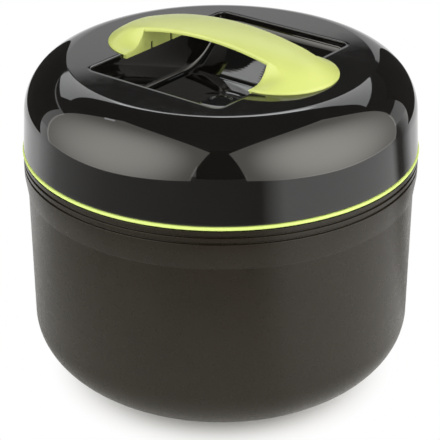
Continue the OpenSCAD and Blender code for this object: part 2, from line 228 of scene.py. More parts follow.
bm = bmesh.new()
start = bm.verts.new((0, 0, plate_z))
tip = stroke(bm, start, foot_r - foot_w, plate_z)
tip = stroke(bm, tip, foot_r - foot_w, foot_edge)
tip = sweep(bm, tip, foot_r - foot_w + foot_edge, foot_edge, 90, 4)
tip = stroke(bm, tip, foot_r - foot_edge, 0)
tip = sweep(bm, tip, foot_r - foot_edge, foot_edge, 90, 6)
for step in range(foot_rows + 1):
    radius = foot_r + (corner_r - foot_r) * step / foot_rows
    tip = stroke(bm, tip, radius, tub_height(radius) - fit)
tip = stroke(bm, tip, fill_hole_r - fit, tub_z - fit)
tip = stroke(bm, tip, fill_hole_r - fit, base_high.z)
stroke(bm, tip, 0, base_high.z)
lathe(bm)
foot = make_piece(bm, "foot_cap", "tub", ["base_cap"], soften=0.2 * mm)

# %% [markdown]
# ## Collar
#
# The collar is a ring pushed over the top of the tub. Its lower part flares out to
# the full width, and two shallow grooves run round it under the rim. Inside, it
# carries the pot on a shelf and the ledges of the twist lock. A groove is drawn with
# slanted sides, which leave a mould more easily and catch the light.

# %% Collar outside and shelf
line_drop = 1 * mm
rim_gap = 0.2 * mm
rim_z = collar_high.z
open_z = rim_z - line_drop - rim_gap
collar_r = collar_high.x
collar_edge_r = tub_r + 0.3 * mm
straight_z = rim_z - 12.6 * mm
channel_r = collar_r - 7.4 * mm
shelf_r = channel_r - 5.3 * mm
shelf_z = rim_z - 12.0 * mm
shelf_low_z = shell_high.z
groove_depth = 1.2 * mm
groove_w = 1.5 * mm
groove_lean = 0.15 * mm
groove_drops = (6.8 * mm, 3.3 * mm)

bm = bmesh.new()
start = bm.verts.new((collar_edge_r, 0, collar_low.z))
tip = stroke(bm, start, collar_r, straight_z)
for drop in groove_drops:
    tip = stroke(bm, tip, collar_r, rim_z - drop - groove_w)
    tip = stroke(bm, tip, collar_r - groove_depth, rim_z - drop - groove_w + groove_lean)
    tip = stroke(bm, tip, collar_r - groove_depth, rim_z - drop - groove_lean)
    tip = stroke(bm, tip, collar_r, rim_z - drop)
tip = stroke(bm, tip, collar_r, open_z)
tip = stroke(bm, tip, channel_r, open_z)
tip = stroke(bm, tip, channel_r, shelf_z)
tip = stroke(bm, tip, shelf_r, shelf_z)
tip = stroke(bm, tip, shelf_r, shelf_low_z)
tip = stroke(bm, tip, tub_r - wall_t + fit, shelf_low_z)
tip = stroke(bm, tip, tub_r - wall_t + fit, collar_low.z)
bm.edges.new((tip, start))
lathe(bm)
print("collar ring has", len(bm.faces), "faces before its ledges")

# %% [markdown]
# The ledges hold the lid's lugs down once it is turned. Each is a block bent along
# the ring: a small upright rectangle, spun through part of a turn. A taller block at
# one end of each ledge stops the lug.

# %% Ledges of the twist lock
lug_count = 4
lug_turn = 360 / lug_count
way_in, stop_w = 16, 18
stop_end = way_in + stop_w
ledge_r = channel_r - 3.4 * mm
ledge_root = channel_r + 0.3 * mm
ledge_top = rim_z - 2.5 * mm
ledge_low = ledge_top - 3.5 * mm
stop_low = ledge_low - 3.9 * mm


def once(elements):
    """The elements without repeats, in the order in which they came."""
    return list(dict.fromkeys(elements))


def bent_block(bm, inner, outer, low, high, begin, end):
    """Spin an upright rectangle through part of a turn, from one angle to another, in degrees."""
    corners = bmesh.ops.create_grid(bm, x_segments=1, y_segments=1, size=0.5,
                                    matrix=Matrix.Rotation(math.pi / 2, 4, "X"))["verts"]
    bmesh.ops.scale(bm, verts=corners, vec=(outer - inner, 1, high - low))
    bmesh.ops.translate(bm, verts=corners, vec=((inner + outer) / 2, 0, (low + high) / 2))
    bmesh.ops.rotate(bm, verts=corners, matrix=Matrix.Rotation(math.radians(begin), 3, "Z"))
    section = once(f for v in corners for f in v.link_faces)
    edges = once(e for f in section for e in f.edges)
    bmesh.ops.spin(bm, geom=corners + edges + section, cent=(0, 0, 0), axis=(0, 0, 1),
                   angle=math.radians(end - begin), steps=max(3, round((end - begin) / 2)))


for lug in range(lug_count):
    turn = lug * lug_turn
    ledge_end = turn + lug_turn - way_in
    bent_block(bm, ledge_r, ledge_root, stop_low, ledge_top, turn + way_in, turn + stop_end)
    bent_block(bm, ledge_r, ledge_root, ledge_low, ledge_top, turn + stop_end, ledge_end)
bmesh.ops.recalc_face_normals(bm, faces=bm.faces)
collar = make_piece(bm, "grooved_collar", "tub", ["rim_collar"], sharp=25, soften=0.18 * mm)

# %% [markdown]
# ## Seal
#
# The lime line round the box is a soft ring between tub and lid, squeezed to a round
# outer edge. Its section is a flat strip whose outer end is half a circle. A low step
# under the bead leaves the dark line that shows between it and the collar.

# %% Seal
seal_r = seal_high.x
seal_in_r = seal_r - 7 * mm
seal_step_r = seal_r - 2.5 * mm
seal_top = seal_high.z - line_drop
bead_low = open_z + 0.5 * mm
bead_r = (seal_top - bead_low) / 2

bm = bmesh.new()
start = bm.verts.new((seal_in_r, 0, open_z))
tip = stroke(bm, start, seal_step_r, open_z)
tip = stroke(bm, tip, seal_step_r, bead_low)
tip = stroke(bm, tip, seal_r - bead_r, bead_low)
tip = sweep(bm, tip, seal_r - bead_r, bead_low + bead_r, 180, 12)
tip = stroke(bm, tip, seal_in_r, seal_top)
bm.edges.new((tip, start))
lathe(bm)
seal = make_piece(bm, "soft_seal", "seal", ["seal_ring"], soften=0.2 * mm)

# %% [markdown]
# ## Lid dome
#
# The lid is a glossy dome: a leaning side wall, a big round shoulder, and a flat top
# that starts at a crease. Gloss shows every facet, so the shoulder is drawn in many
# short steps, and two close rings at the crease keep its highlight narrow.

# %% Dome
lid_low, lid_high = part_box("lid_cover")
lid_r = lid_high.x
lid_z, top_z = lid_low.z - line_drop, lid_high.z
lean = math.radians(3.7)
shoulder_r = 27 * mm
crease = math.radians(82.5)
shoulder_z = top_z - shoulder_r * math.sin(crease)
wall_top_z = shoulder_z + shoulder_r * math.sin(lean)
wall_top_r = lid_r - (wall_top_z - lid_z) * math.tan(lean)
shoulder_x = wall_top_r - shoulder_r * math.cos(lean)
crease_r = shoulder_x + shoulder_r * math.cos(crease)
lid_t = 2.6 * mm
lower_edge = 0.9 * mm
inside_lean, inside_h = 0.6 * mm, 10 * mm
wall_rows = 5
shoulder_steps = 46
crease_turn = 0.5
crease_ring = 0.6 * mm

bm = bmesh.new()
tip = bm.verts.new((lid_r - lid_t - inside_lean, 0, lid_z + inside_h))
tip = stroke(bm, tip, lid_r - lid_t, lid_z)
tip = stroke(bm, tip, lid_r - lower_edge, lid_z)
tip = sweep(bm, tip, lid_r - lower_edge, lid_z + lower_edge, 90 + math.degrees(lean), 6)
for step in range(1, wall_rows + 1):
    share = step / wall_rows
    tip = stroke(bm, tip, lid_r + (wall_top_r - lid_r) * share, lid_z + (wall_top_z - lid_z) * share)
tip = sweep(bm, tip, shoulder_x, shoulder_z, math.degrees(crease - lean) - crease_turn, shoulder_steps)
tip = sweep(bm, tip, shoulder_x, shoulder_z, crease_turn, 1)
stroke(bm, tip, crease_r - crease_ring, top_z)
lathe(bm, 256)
print("dome crease at radius", round(crease_r / mm, 2), "mm")

# %% [markdown]
# ## Hand pocket
#
# A pocket for the fingers is sunk into the flat top. Its floor is flat in the middle
# and ramps up at both ends; next to the side walls the ramp starts as a wide curve. The
# floor starts as one rounded rectangle: cuts along and across it give cells that are
# lifted to the ramps. Then its open edge is extruded again and again, round the fillet,
# up the wall and over the lip, as a sheet is drawn into a die.

# %% Pocket floor
pocket_x, pocket_y = 42.25 * mm, 56 * mm
pocket_corner = 4 * mm
pocket_z = top_z - 25.5 * mm
fillet = 3 * mm
lip = 0.5 * mm
ramp_slope, top_slope = 40, 25
steep_y, steep_r = 26 * mm, 3 * mm
steep_end = 45.6 * mm
curve_y, curve_r = 18 * mm, 40 * mm
curve_x = 35.5 * mm
row_step, row_count = 1.15 * mm, 30
column_step, column_count = 0.5 * mm, 6


def ease(value):
    """A smooth step from 0 to 1."""
    value = max(0.0, min(1.0, value))
    return value * value * (3 - 2 * value)


def ramp_rise(y, begin, radius, degrees):
    """Rise of a ramp that begins with an arc."""
    over = max(0.0, abs(y) - begin)
    slope = math.radians(degrees)
    arc = radius * math.sin(slope)
    if over <= arc:
        return radius - math.sqrt(radius * radius - over * over)
    return radius * (1 - math.cos(slope)) + (over - arc) * math.tan(slope)


def floor_height(x, y):
    """Height of the pocket's floor: a steep ramp in the middle, and a wide curve next to the side walls."""
    steep = ramp_rise(min(abs(y), steep_end), steep_y, steep_r, ramp_slope)
    steep += ramp_rise(y, steep_end, 0, top_slope)
    wide = ramp_rise(y, curve_y, curve_r, ramp_slope)
    return pocket_z + steep + (wide - steep) * ease((abs(x) - curve_x) / (pocket_x - fillet - curve_x))


dome_verts = set(bm.verts)
floor = bmesh.ops.create_grid(bm, x_segments=1, y_segments=1, size=0.5)["verts"]
bmesh.ops.scale(bm, verts=floor, vec=(2 * (pocket_x - fillet), 2 * (pocket_y - fillet), 1))
bmesh.ops.bevel(bm, geom=floor, offset=pocket_corner - fillet, affect="VERTICES", segments=6,
                profile=0.5, material=-1)
cuts = [Vector((0, curve_y + row_step * step, 0)) for step in range(row_count)]
cuts += [Vector((curve_x + column_step * step, 0, 0)) for step in range(column_count)]
for cut in cuts + [-cut for cut in cuts]:
    part = [v for v in bm.verts if v not in dome_verts]
    edges = once(e for v in part for e in v.link_edges)
    faces = once(f for v in part for f in v.link_faces)
    bmesh.ops.bisect_plane(bm, geom=part + edges + faces, plane_co=cut, plane_no=cut.normalized())
floor = [v for v in bm.verts if v not in dome_verts]
for v in floor:
    v.co.z = floor_height(v.co.x, v.co.y)
print("pocket floor has", len(once(f for v in floor for f in v.link_faces)), "faces")


# %% Pocket walls and lip
fillet_rows, lip_rows = 6, 4
fillet_limit = 0.8
flat_ring = 1.5 * mm


def grown(point, by):
    """Move a point of the pocket's outline outward, square to the outline."""
    core = Vector((max(-pocket_x + pocket_corner, min(pocket_x - pocket_corner, point.x)),
                   max(-pocket_y + pocket_corner, min(pocket_y - pocket_corner, point.y)), 0))
    away = Vector((point.x, point.y, 0)) - core
    return core + away.normalized() * (pocket_corner + by)


def draw_up(bm, rim, by, height):
    """Extrude the pocket's open edge and set its new width and height."""
    new = bmesh.ops.extrude_edge_only(bm, edges=rim)["geom"]
    for v in new:
        if isinstance(v, bmesh.types.BMVert):
            v.co = grown(v.co, by)
            v.co.z = height(v.co)
    return [e for e in new if isinstance(e, bmesh.types.BMEdge) and e.is_boundary]


def fillet_height(point, turn):
    """Height of the fillet's arc at a turn; the fillet is lower where the wall is low."""
    low = floor_height(point.x, point.y)
    return low + min(fillet, fillet_limit * (top_z - lip - low)) * (1 - math.cos(turn))


rim = once(e for v in floor for e in v.link_edges if e.is_boundary)
for step in range(1, fillet_rows + 1):
    turn = math.pi / 2 * step / fillet_rows
    rim = draw_up(bm, rim, -fillet + fillet * math.sin(turn), lambda point: fillet_height(point, turn))
for step in range(lip_rows + 1):
    turn = math.pi / 2 * step / lip_rows
    rim = draw_up(bm, rim, lip - lip * math.cos(turn), lambda point: top_z - lip + lip * math.sin(turn))
rim = draw_up(bm, rim, lip + flat_ring, lambda point: top_z)
print("pocket edge now has", len(rim), "edges at", round(top_z / mm, 2), "mm")

# %% [markdown]
# The flat top lies between the pocket's edge and the crease. Bridging two loops of
# so different a shape folds faces over each other, so the gap is filled with
# triangles instead. It is flat, so they don't show. A thin Solidify then gives the
# whole sheet a thickness, inward.

# %% Flat top and wall thickness
hair = 0.01 * mm
skin_t = 0.8 * mm
open_edges = [e for e in bm.edges if e.is_boundary and all(abs(v.co.z - top_z) < hair for v in e.verts)]
filled = bmesh.ops.triangle_fill(bm, edges=open_edges, use_beauty=True, normal=(0, 0, 1))
top_faces = [f for f in filled["geom"] if isinstance(f, bmesh.types.BMFace)]
bmesh.ops.recalc_face_normals(bm, faces=bm.faces)
lid = make_piece(bm, "lid_dome", "lid", ["lid_cover"], sharp=40)
wall = lid.modifiers.new("wall", "SOLIDIFY")
wall.thickness = skin_t
wall.offset = -1
print("flat top filled with", len(top_faces), "triangles, area",
      round(sum(p.area for p in lid.data.polygons if abs(p.center.z - top_z) < hair) * 1e4, 1), "cm2")

# %% [markdown]
# A low round boss with a shallow dimple sits in the middle of the floor. It is a
# small lathe piece of its own, set a little into the floor so that no gap shows.

# %% Boss
boss_r, boss_h = 12 * mm, 1 * mm
boss_sink = 0.5 * mm
boss_top = pocket_z + boss_h
boss_edge = 0.45 * mm
dimple_r, dimple_depth = 6 * mm, 0.6 * mm
dimple_slope = 0.3 * mm

bm = bmesh.new()
tip = bm.verts.new((0, 0, pocket_z - boss_sink))
tip = stroke(bm, tip, boss_r, pocket_z - boss_sink)
tip = stroke(bm, tip, boss_r, boss_top - boss_edge)
tip = sweep(bm, tip, boss_r - boss_edge, boss_top - boss_edge, 90, 5)
tip = stroke(bm, tip, dimple_r + dimple_slope, boss_top)
tip = stroke(bm, tip, dimple_r - dimple_slope, boss_top - dimple_depth)
stroke(bm, tip, 0, boss_top - dimple_depth)
lathe(bm, 96)
boss = make_piece(bm, "pocket_boss", "lid", [], soften=0.15 * mm)

# %% [markdown]
# ## Handle
#
# The handle is one lime moulding: a grip bar that arches over the pocket and widens
# into a round foot on either side. Its plan is drawn flat with the same pen, made
# thick, and cut free under the bar. Only then is it bent: every vertex is lifted to
# the arch along X and the crown across Y, so the rounded edges follow the bend. On
# the feet the crown runs out into a thin rim.

# %% Handle plan
handle_low, handle_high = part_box("handle")
arch_r, crown_r = 188 * mm, 57 * mm
arch_z = handle_high.z - arch_r
bar_t = 4 * mm
bar_y = 14 * mm
pad_r = 29.6 * mm
pad_x = handle_high.x - pad_r
dip_t = 2.2 * mm
tab_x = pocket_x - fit - dip_t
pad_y = math.sqrt(pad_r ** 2 - (tab_x - pad_x) ** 2)
pad_turn = 2 * math.acos((tab_x - pad_x) / pad_r)
block_h = 10 * mm
bar_h = 5 * mm


def plan_stroke(bm, tip, x, y):
    """Draw a straight line on the plan."""
    new = bmesh.ops.extrude_vert_indiv(bm, verts=[tip])["verts"][0]
    new.co = (x, y, 0)
    return new


bm = bmesh.new()
start = tip = bm.verts.new((tab_x, -bar_y, 0))
for side in (1, -1):
    tip = plan_stroke(bm, tip, side * tab_x, -side * pad_y)
    tip = bmesh.ops.spin(bm, geom=[tip], cent=(side * pad_x, 0, 0), axis=(0, 0, 1),
                         angle=pad_turn, steps=56)["geom_last"][0]
    tip = plan_stroke(bm, tip, side * tab_x, side * bar_y)
    if side == 1:
        tip = plan_stroke(bm, tip, -tab_x, bar_y)
bm.edges.new((tip, start))
bmesh.ops.contextual_create(bm, geom=bm.edges[:])
block = bmesh.ops.extrude_face_region(bm, geom=bm.faces[:], use_keep_orig=True)["geom"]
bmesh.ops.translate(bm, verts=[g for g in block if isinstance(g, bmesh.types.BMVert)], vec=(0, 0, -block_h))
bmesh.ops.recalc_face_normals(bm, faces=bm.faces)
print("handle plan spans", round(2 * (pad_x + pad_r) / mm, 1), "by", round(2 * pad_r / mm, 1), "mm")

# %% [markdown]
# The block under the bar is cut away: the bar's two side faces are split along a
# level line, what lies below it goes, and three new faces close the arch.

# %% Room under the bar
inside = tab_x + hair
sides = [f for f in bm.faces if abs(f.normal.z) < 0.5
         and all(abs(v.co.x) < inside and abs(abs(v.co.y) - bar_y) < hair for v in f.verts)]
edges = once(e for f in sides for e in f.edges)
corners = once(v for f in sides for v in f.verts)
bmesh.ops.bisect_plane(bm, geom=corners + edges + sides, plane_co=(0, 0, -bar_h), plane_no=(0, 0, 1))
below = [f for f in bm.faces if abs(f.normal.z) < 0.5 and f.calc_center_median().z < -bar_h
         and abs(f.calc_center_median().x) < hair]
bottom = min(bm.faces, key=lambda f: f.calc_center_median().z)
bmesh.ops.delete(bm, geom=below + [bottom], context="FACES")


def corner_at(x, y, z):
    """The vertex nearest to a point."""
    return min(bm.verts, key=lambda v: (v.co - Vector((x, y, z))).length)


under = [corner_at(x, y, -bar_h) for x in (-tab_x, tab_x) for y in (-bar_y, bar_y)]
bmesh.ops.contextual_create(bm, geom=under)
for side in (-1, 1):
    upright = [corner_at(side * tab_x, y, z) for y in (-bar_y, bar_y) for z in (-bar_h, -block_h)]
    bmesh.ops.contextual_create(bm, geom=upright)
for side in (-1, 1):
    loop = [e for e in bm.edges if e.is_boundary and all(side * v.co.x > 0 for v in e.verts)]
    bmesh.ops.contextual_create(bm, geom=loop)
bmesh.ops.recalc_face_normals(bm, faces=bm.faces)
print("open edges left on the handle:", sum(not e.is_manifold for e in bm.edges))

# %% [markdown]
# The edges are rounded while the block is still flat, because a bevel is cleanest on
# large flat faces. The cuts that follow give it rows to bend along.

# %% Rounded edges
top_edge = 0.7 * mm
under_edge = 0.6 * mm
bend_cuts = ((Vector((1, 0, 0)), 1.5 * mm, 45), (Vector((0, 1, 0)), 1.25 * mm, 23))
rounded = [e for e in bm.edges if all(abs(v.co.z) < hair for v in e.verts)]
bmesh.ops.bevel(bm, geom=rounded, offset=top_edge, affect="EDGES", segments=5, profile=0.5, material=-1)
rounded = [e for e in bm.edges if all(abs(v.co.z + bar_h) < hair for v in e.verts)
           and abs(e.verts[0].co.y - e.verts[1].co.y) < hair]
bmesh.ops.bevel(bm, geom=rounded, offset=under_edge, affect="EDGES", segments=3, profile=0.5, material=-1)
for across, spacing, count in bend_cuts:
    for step in range(-count, count + 1):
        everything = bm.verts[:] + bm.edges[:] + bm.faces[:]
        bmesh.ops.bisect_plane(bm, geom=everything, plane_co=across * step * spacing, plane_no=across)
print("handle block has", len(bm.faces), "faces")


# %% Crown of the bar
def bar_top(x, y):
    """Height of the bar's crown over a point of the plan."""
    across = arch_r - crown_r + math.sqrt(crown_r ** 2 - y * y)
    return arch_z + math.sqrt(across ** 2 - x * x)


print("crown falls", round((bar_top(0, 0) - bar_top(0, bar_y)) / mm, 2), "mm to the bar's edge")

# %% [markdown]
# A foot's top changes its shape on the way out. Beside the bar it falls steeply and then
# runs out flat, as a skirt does. At the outer end it is a low round dome whose ridge
# comes down as a nose. Both end on the same thin rim, so the two heights above the rim
# can simply be mixed, from one to the other, over the length of the foot.

# %% Feet
pad_edge = 0.9 * mm
rim_top = top_z + pad_edge
skirt = 3.2
foot_mix = 16 * mm
nose_r = 55 * mm
nose_start = Vector((tab_x + dip_t, bar_top(tab_x + dip_t, 0)))
nose_end = Vector((handle_high.x, rim_top))
nose_run = nose_end - nose_start
nose_side = Vector((nose_run.y, -nose_run.x)).normalized()
nose_reach = math.sqrt(nose_r ** 2 - nose_run.length ** 2 / 4)
nose_middle = (nose_start + nose_end) / 2 + nose_side * nose_reach
least_w = 0.1 * mm


def handle_top(x, y):
    """Height of the handle's top over a point of its plan."""
    x, y = abs(x), abs(y)
    crown, ridge = bar_top(x, y), bar_top(x, 0)
    if x <= tab_x and y <= bar_y:
        return crown
    if x > nose_start.x:
        nose = nose_middle.y + math.sqrt(nose_r ** 2 - (x - nose_middle.x) ** 2)
        crown, ridge = min(crown, nose), min(ridge, nose)
    rim_y = math.sqrt(max(pad_r ** 2 - (x - pad_x) ** 2, least_w ** 2))
    beside = max(0.0, min(1.0, 1 - (y - bar_y) / max(rim_y - bar_y, least_w)))
    steep = (crown - rim_top) * beside ** skirt
    dome = (ridge - rim_top) * (1 - min(1.0, y / rim_y) ** 2)
    return rim_top + max(0.0, steep + (dome - steep) * ease((x - tab_x) / foot_mix))


heights = [round((handle_top(tab_x, y * mm) - top_z) / mm, 1) for y in (12, 15, 18, 22, 26)]
print("foot beside the bar:", heights, "mm high")

# %% Bend to the arch
dip_z = handle_low.z
slit_top = dip_z + 3.8 * mm
slit_x, slit_room = tab_x + 4 * mm, 13 * mm
edge_room = 2 * mm
for v in bm.verts:
    x, y, z = v.co
    if z > -edge_room:
        v.co.z = handle_top(x, y) + z
    elif z > -bar_h - edge_room:
        v.co.z = arch_z + math.sqrt((arch_r - bar_t) ** 2 - x * x) + z + bar_h
    elif abs(x) < slit_x and abs(y) < slit_room:
        v.co.z = slit_top
    else:
        v.co.z = top_z
print("handle rises to", round(max(v.co.z for v in bm.verts) / mm, 1), "mm")

# %% [markdown]
# On the pocket's side each foot has a wall that dips a little below the lid's top. Two
# slits free a snap tab in its middle. The wall is a row of upright plates, taller and
# thinner near the slits, with gaps the width of a slit.

# %% Dipping walls
dip_y = 28.5 * mm
thin_t = 0.9 * mm
slit_y, slit_w = 8 * mm, 1.8 * mm
tall_y = 13.75 * mm
tab_y, wing_y = slit_y - slit_w / 2, slit_y + slit_w / 2
plates = ((-dip_y, -tall_y, top_z, dip_t), (-tall_y, -wing_y, slit_top, thin_t),
          (-tab_y, tab_y, slit_top, thin_t),
          (wing_y, tall_y, slit_top, thin_t), (tall_y, dip_y, top_z, dip_t))
for side in (-1, 1):
    for low, high, top, thick in plates:
        middle = (side * (tab_x + thick / 2), (low + high) / 2, (top + dip_z) / 2)
        plate = bmesh.ops.create_cube(bm, size=1)["verts"]
        bmesh.ops.scale(bm, verts=plate, vec=(thick, high - low, top - dip_z))
        bmesh.ops.translate(bm, verts=plate, vec=middle)
handle = make_piece(bm, "carry_handle", "lid", ["handle"], sharp=35)

# %% [markdown]
# ## Finishes
#
# Every finish starts from a Principled shader. Three layers of noise on Object
# coordinates give it life: a slow one shifts the colour, a middle one varies the
# roughness where hands have touched it, and a fine one is the grain of the mould. A
# picture texture could hold all of this, but noise has no seams and no size limit.

# %% Moulded finish
noise_low, noise_high = 0.3, 0.7
touch_scale = 160


def link(owner, source, target):
    """Join two sockets in the nodes of a material, a lamp or the world."""
    owner.node_tree.links.new(source, target)


def add_node(owner, kind, **inputs):
    """Add a node and set some of its inputs by name."""
    node = owner.node_tree.nodes.new(kind)
    for name, value in inputs.items():
        node.inputs[name.replace("_", " ")].default_value = value
    return node


def fade(owner, value, begin, end, low, high, kind="SMOOTHSTEP"):
    """Go from low to high while a value goes from begin to end."""
    node = add_node(owner, "ShaderNodeMapRange", From_Min=begin, From_Max=end, To_Min=low, To_Max=high)
    node.interpolation_type = kind
    link(owner, value, node.inputs["Value"])
    return node.outputs["Result"]


def noise(material, place, scale, detail=3.0):
    """A noise texture on a place vector, at a scale of features per metre."""
    node = add_node(material, "ShaderNodeTexNoise", Scale=scale, Detail=detail)
    link(material, place, node.inputs["Vector"])
    return node.outputs["Fac"]


def spread(material, value, low, high):
    """Stretch a noise value to a range."""
    return fade(material, value, noise_low, noise_high, low, high, "LINEAR")


def emboss(material, shader, height, depth):
    """Press a fine relief into the surface."""
    bump = add_node(material, "ShaderNodeBump", Strength=1.0, Distance=depth)
    link(material, height, bump.inputs["Height"])
    link(material, bump.outputs["Normal"], shader.inputs["Normal"])


def new_finish(name):
    """A new material and its Principled shader."""
    material = bpy.data.materials.new(name)
    material.use_nodes = True
    print("finish", name)
    return material, material.node_tree.nodes["Principled BSDF"]


def moulded(name, dark, pale, rough, grain_scale, grain_depth, patch_scale=35, bend=1.5):
    """A moulded plastic: two close shades, a range of roughness and a fine grain."""
    material, shader = new_finish(name)
    place = add_node(material, "ShaderNodeTexCoord").outputs["Object"]
    shade = add_node(material, "ShaderNodeValToRGB")
    for stop, colour, level in zip(shade.color_ramp.elements, (dark, pale), (noise_low, noise_high)):
        stop.color = (*colour, 1)
        stop.position = level
    link(material, noise(material, place, patch_scale), shade.inputs["Fac"])
    link(material, shade.outputs["Color"], shader.inputs["Base Color"])
    touched = spread(material, noise(material, place, touch_scale, detail=6.0), *rough)
    link(material, touched, shader.inputs["Roughness"])
    emboss(material, shader, noise(material, place, grain_scale, detail=2.0), grain_depth)
    shader.inputs["IOR"].default_value = bend
    return material


def paint(material, *pieces):
    """Put one material on pieces and CAD nodes."""
    for piece in pieces:
        piece.data.materials.clear()
        piece.data.materials.append(material)


# %% [markdown]
# The tub and its collar are a brown-black satin plastic with an even spark grain. The
# lid is the same colour but polished in the mould, so its roughness is very low and
# the grain is only a faint unevenness. The lime parts are satin, and the seal is a
# softer, duller lime.

# %% Plastics
tub_satin = moulded("tub satin", dark=(0.0112, 0.0085, 0.0049), pale=(0.0132, 0.0101, 0.0059),
                    rough=(0.25, 0.31), grain_scale=2600, grain_depth=0.0015 * mm, bend=1.42)
lid_gloss = moulded("lid gloss", dark=(0.0045, 0.0042, 0.0038), pale=(0.006, 0.0055, 0.005),
                    rough=(0.02, 0.05), grain_scale=60, grain_depth=0.001 * mm, bend=1.7)
lime_satin = moulded("lime satin", dark=(0.55, 0.625, 0.18), pale=(0.59, 0.66, 0.20),
                     rough=(0.30, 0.38), grain_scale=2200, grain_depth=0.005 * mm)
lime_soft = moulded("lime soft", dark=(0.50, 0.63, 0.165), pale=(0.53, 0.66, 0.185),
                    rough=(0.42, 0.55), grain_scale=1800, grain_depth=0.008 * mm)
liner_grey = moulded("liner grey", dark=(0.27, 0.27, 0.26), pale=(0.32, 0.32, 0.31),
                     rough=(0.3, 0.4), grain_scale=2200, grain_depth=0.005 * mm)
foam_skin = moulded("foam skin", dark=(0.74, 0.67, 0.49), pale=(0.84, 0.79, 0.62),
                    rough=(0.85, 0.95), grain_scale=900, grain_depth=0.12 * mm, patch_scale=220)
paint(tub_satin, tub_wall, foot, collar)
paint(lid_gloss, lid, boss)
paint(lime_satin, handle)
paint(lime_soft, seal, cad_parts["pot_gasket"])
paint(liner_grey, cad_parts["lid_liner"])
paint(foam_skin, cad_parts["body_insulation"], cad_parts["lid_insulation"])


# %% [markdown]
# The pot is spun from steel sheet and brushed while it turns, so its lines run round
# it. Distance from the axis and height are the only things that the brush noise
# sees: points on one circle get the same value, which draws the circles.

# %% Steel
line_depth = 0.002 * mm


def vector_math(owner, operation, vector, second=(0, 0, 0)):
    """Work on a vector with a Vector Math node."""
    node = owner.node_tree.nodes.new("ShaderNodeVectorMath")
    node.operation = operation
    node.inputs[1].default_value = second
    link(owner, vector, node.inputs[0])
    return node.outputs["Value" if operation in ("LENGTH", "DOT_PRODUCT") else "Vector"]


def brushed(name, colour, rough, line_scale):
    """Steel with fine lines round the axis."""
    material, shader = new_finish(name)
    shader.inputs["Metallic"].default_value = 1.0
    shader.inputs["Base Color"].default_value = (*colour, 1)
    place = add_node(material, "ShaderNodeTexCoord").outputs["Object"]
    split = add_node(material, "ShaderNodeSeparateXYZ")
    link(material, place, split.inputs["Vector"])
    rings = add_node(material, "ShaderNodeCombineXYZ")
    flat = vector_math(material, "MULTIPLY", place, (1, 1, 0))
    link(material, vector_math(material, "LENGTH", flat), rings.inputs["X"])
    link(material, split.outputs["Z"], rings.inputs["Y"])
    lines = noise(material, rings.outputs["Vector"], line_scale, detail=4.0)
    link(material, spread(material, lines, *rough), shader.inputs["Roughness"])
    emboss(material, shader, lines, line_depth)
    return material


pot_steel = brushed("brushed steel", colour=(0.62, 0.62, 0.61), rough=(0.2, 0.34), line_scale=1400)
screw_zinc = brushed("zinc plate", colour=(0.55, 0.55, 0.54), rough=(0.3, 0.45), line_scale=900)
paint(pot_steel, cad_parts["inner_pot"])
paint(screw_zinc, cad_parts["handle_screws"])

# %% [markdown]
# ## Studio
#
# A black glossy lid shows the studio more than it shows itself. Two tall softboxes
# stand left and right of the camera and give the two big soft patches on the
# shoulder. A sheet and a strip behind the box draw the wedges and the thin line along
# the crease, and dark cards keep the rest of the lid deep. The softboxes fade toward
# their edges, as a lamp behind cloth does.

# %% Directions round the box
def studio_spot(turn, distance, height):
    """A point round the box: turn 0 is the camera's side, and positive turns go to the right."""
    angle = camera_turn + math.radians(turn)
    return Vector((distance * math.sin(angle), -distance * math.cos(angle), height))


print("towards the camera:", [round(c, 2) for c in studio_spot(0, 1, 0)])

# %% Softboxes
lamp_level = 0.5
lamp_colour = (1.0, 0.975, 0.9)
lamp_turn, lamp_distance = 70, 0.57
lamp_tall = 1.1
lamp_lean = math.radians(8.5)
hot_ahead, hot_height = 0.16, 0.37
hot_reach, hot_squash = 0.7, 0.85


def softbox(name, side, back, front, edge, middle):
    """An area lamp beside the box, leaning over it, that glows most at one spot and fades from there."""
    width = back + front
    lamp = bpy.data.lights.new(name, "AREA")
    lamp.shape = "RECTANGLE"
    lamp.size, lamp.size_y = width, lamp_tall
    # The glow of an area lamp is a quarter of its power over its area
    lamp.energy = 4 * width * lamp_tall * lamp_level
    lamp.color = lamp_colour
    lamp.use_nodes = True
    place = add_node(lamp, "ShaderNodeNewGeometry").outputs["Parametric"]
    hot_spot = (0.5 + side * (0.5 - (back + hot_ahead) / width), hot_height / lamp_tall, 0)
    off = vector_math(lamp, "SUBTRACT", place, hot_spot)
    off = vector_math(lamp, "MULTIPLY", off, (width, hot_squash * lamp_tall, 0))
    away = vector_math(lamp, "LENGTH", off)
    strength = fade(lamp, away, 0, hot_reach, middle, edge, "SMOOTHERSTEP")
    link(lamp, strength, lamp.node_tree.nodes["Emission"].inputs["Strength"])
    box = bpy.data.objects.new(name, lamp)
    facing = studio_spot(side * lamp_turn, lamp_distance - lamp_tall / 2 * math.sin(lamp_lean),
                         lamp_tall / 2 * math.cos(lamp_lean))
    along = studio_spot(side * lamp_turn - 90, (front - back) / 2 * side, 0)
    box.location = facing + along
    aim = -facing.xy.to_3d().normalized() - Vector((0, 0, math.tan(lamp_lean)))
    box.rotation_euler = aim.to_track_quat("-Z", "Y").to_euler()
    box.visible_camera = False
    scene.collection.objects.link(box)
    print(name, "at", [round(c, 2) for c in box.location])
    return box


left_box = softbox("softbox left", -1, back=0.4, front=0.8, edge=1.3, middle=4.8)
right_box = softbox("softbox right", 1, back=0.44, front=0.87, edge=1.4, middle=5.6)

# %% [markdown]
# A low fill by the camera lights the seal and the sides of the handle. It is kept out of
# the mirror that the lid is, as a polarising sheet would keep it out.

# %% Fill
fill_size, fill_power = 1.0, 4.0
fill_distance, fill_height = 1.45, 0.5
fill_aim = Vector((0, 0, 0.14))

